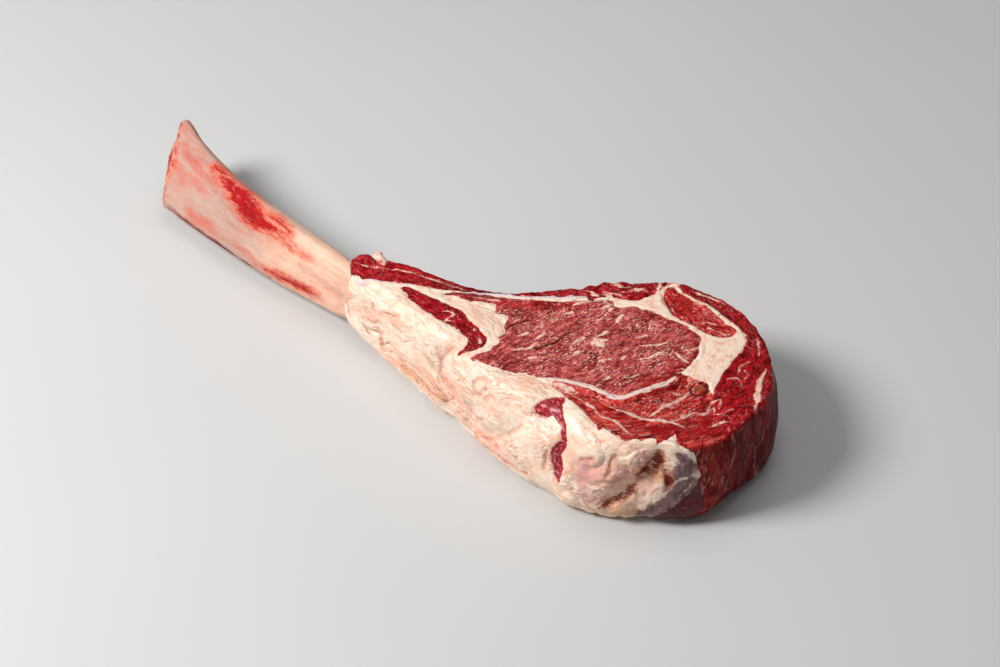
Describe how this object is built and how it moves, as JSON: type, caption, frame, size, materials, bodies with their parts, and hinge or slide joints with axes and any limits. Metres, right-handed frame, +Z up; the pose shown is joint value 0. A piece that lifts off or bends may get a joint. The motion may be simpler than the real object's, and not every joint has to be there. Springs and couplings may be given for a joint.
{
  "type": "raw tomahawk steak",
  "caption": "Thick raw rib steak with its long scraped rib bone left on, lying flat, with its muscles parted by seams of fat and silverskin.",
  "frame": {"origin": "middle of the bounding box on plan, at the level that the steak lies on", "axes": "+X from the sawn end of the bone to the round end of the meat, +Z up through the thickness, -Y the side with the outer fat"},
  "size_m": [0.4219, 0.1451, 0.0534],
  "materials": {
    "bone": "moist scraped bone, cream to pink with blood stains",
    "outer_fat": "moist cream fat with wrinkles and a lean streak",
    "seam_fat": "smooth cream fat",
    "silverskin": "bluish white wet membrane",
    "eye_lean": "wet brownish red lean meat, marbled",
    "cap_lean": "wet orange-red lean meat with coarse fibres and veins of fat",
    "outer_lean": "wet deep red lean meat"
  },
  "bodies": {
    "root": {"rib_bone": "bone", "fat_cap": "outer_fat", "kernel_fat": "seam_fat", "silverskin": "silverskin", "eye_muscle": "eye_lean", "cap_muscle": "cap_lean", "outer_muscle": "outer_lean", "corner_muscle": "cap_lean", "back_muscle": "outer_lean", "rib_finger_muscle": "outer_lean", "rib_strip_near": "outer_lean", "rib_strip_far": "outer_lean"}
  },
  "joints": []
}
